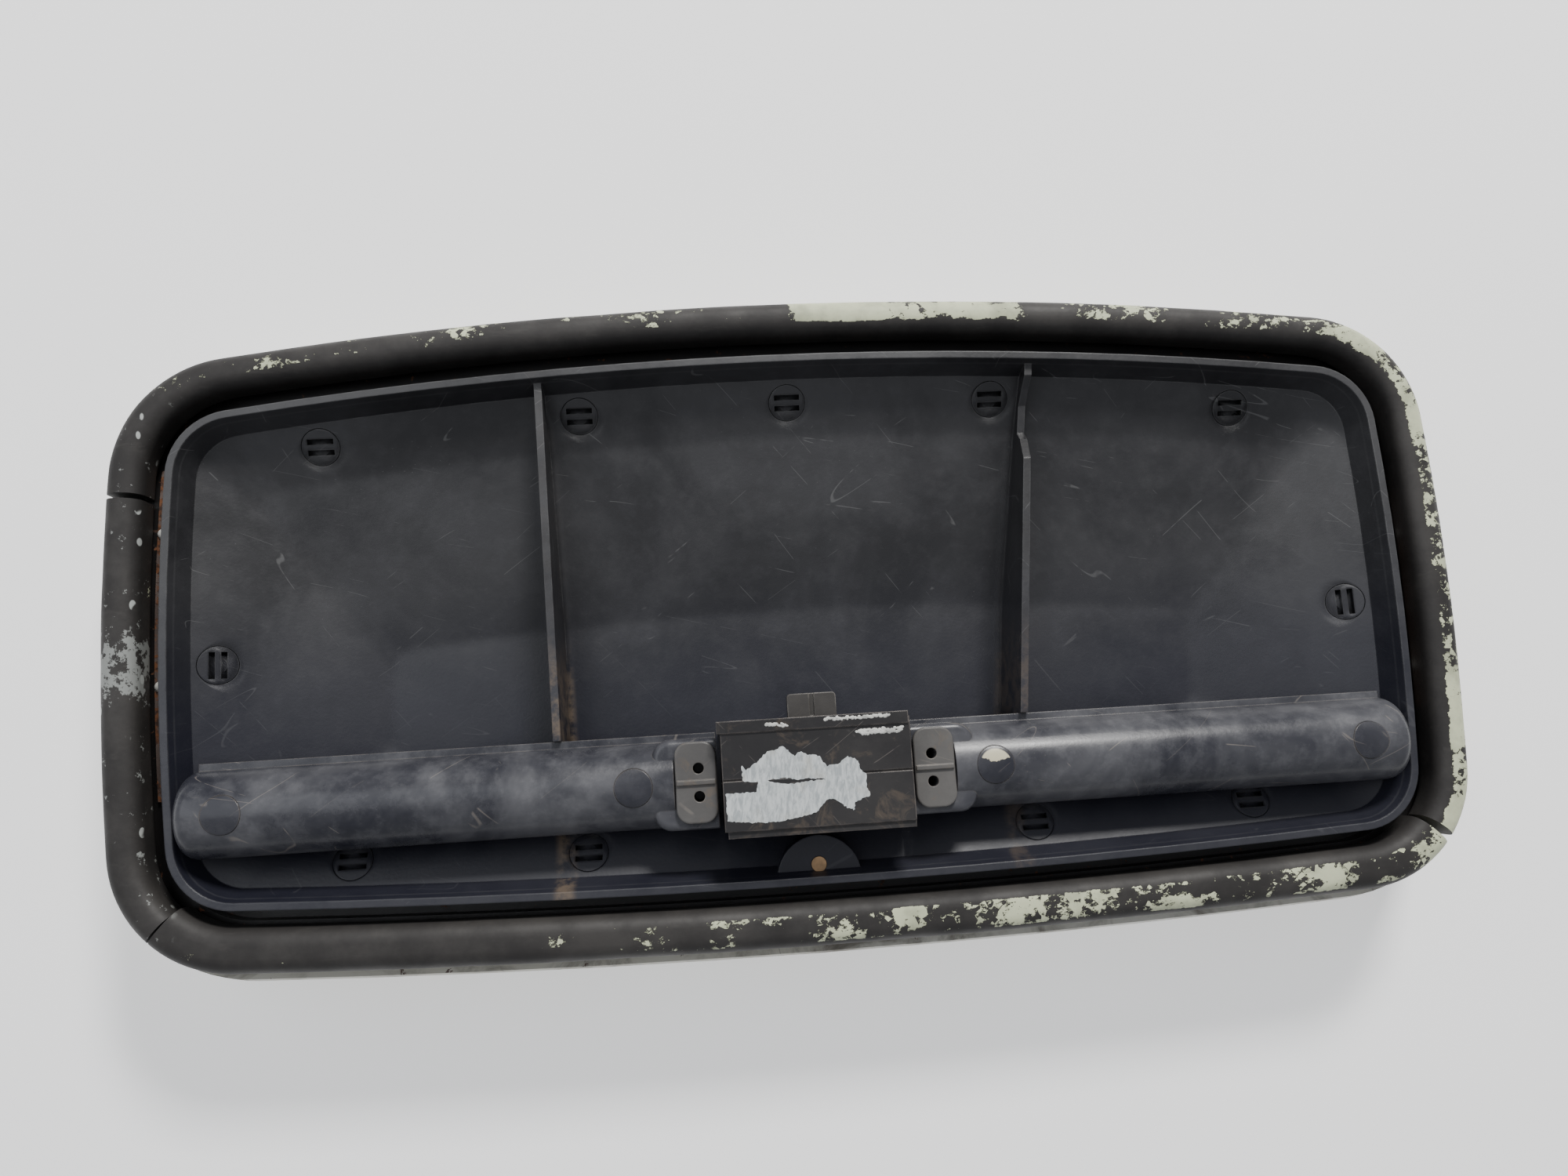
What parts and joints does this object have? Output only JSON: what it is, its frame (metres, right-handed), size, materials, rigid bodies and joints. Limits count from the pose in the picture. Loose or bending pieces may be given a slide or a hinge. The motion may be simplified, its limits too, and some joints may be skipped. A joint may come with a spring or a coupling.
{
  "type": "hatch leaf",
  "caption": "Rubber-sealed rectangular hatch leaf: dished outer cover, black moulded inner pan with ribs, grab rail and a push-button bolt latch.",
  "frame": {"origin": "on the outer cover's resting face, under the middle of the leaf", "axes": "+Z from the outer cover to the inner pan, +X along the long side, +Y towards the arched edge"},
  "size_m": [0.472, 0.232, 0.0646],
  "materials": {
    "cover_paint": "weathered cream paint, dusty",
    "frame_steel": "black paint with rust at the edges",
    "rivet_steel": "dull",
    "pan_plastic": "moulded charcoal plastic, dusty and scratched",
    "foam": "closed-cell foam",
    "nut_plastic": "moulded nylon",
    "plug_amber": "tan plastic",
    "strip_steel": "brown primer with rust",
    "rivet_white": "white paint",
    "rail_plastic": "semi-gloss black",
    "screw_steel": "zinc plated",
    "pad_plastic": "worn black with brown dirt",
    "case_plastic": "worn black",
    "bolt_plastic": "worn dark grey",
    "spring_steel": "bright",
    "button_plastic": "satin black",
    "bezel_chrome": "dulled chrome",
    "seal_rubber": "aged brown-black with cream paint flakes"
  },
  "bodies": {
    "leaf": {"outer_cover": "cover_paint", "carrier_frame": "frame_steel", "frame_rivets": "rivet_steel", "inner_pan": "pan_plastic", "pan_gasket": "foam", "pan_studs": "pan_plastic", "stud_nuts": "nut_plastic", "boss_plug": "plug_amber", "edge_strip_left": "strip_steel", "edge_strip_right": "strip_steel", "strip_rivets": "rivet_white", "grab_rail_right": "rail_plastic", "grab_rail_left": "rail_plastic", "rail_screws": "screw_steel", "rail_caps": "rail_plastic", "mounting_pad_right": "pad_plastic", "mounting_pad_left": "pad_plastic", "latch_case": "case_plastic", "latch_cover": "case_plastic", "case_screws": "screw_steel", "button_spring": "spring_steel", "button_bezel": "bezel_chrome", "bezel_gasket": "seal_rubber", "bezel_nut": "nut_plastic", "seal_upper": "seal_rubber", "seal_left": "seal_rubber", "seal_lower": "seal_rubber"},
    "button": {"push_button": "button_plastic", "plunger": "nut_plastic", "plunger_clip": "spring_steel"},
    "bolt": {"latch_bolt": "bolt_plastic"}
  },
  "joints": [
    {"name": "button_slide", "type": "slide", "parent": "leaf", "child": "button", "axis": [0, 0, 1], "range_m": [0, 0.005], "stiffness_N_per_m": 400, "springref_m": -0.002, "deforming": ["button_spring"]},
    {"name": "bolt_slide", "type": "slide", "parent": "leaf", "child": "bolt", "axis": [0, -1, 0], "range_m": [0, 0.005]}
  ],
  "couplings": [
    {"joint": "bolt_slide", "follows": "button_slide", "ratio": 1}
  ]
}
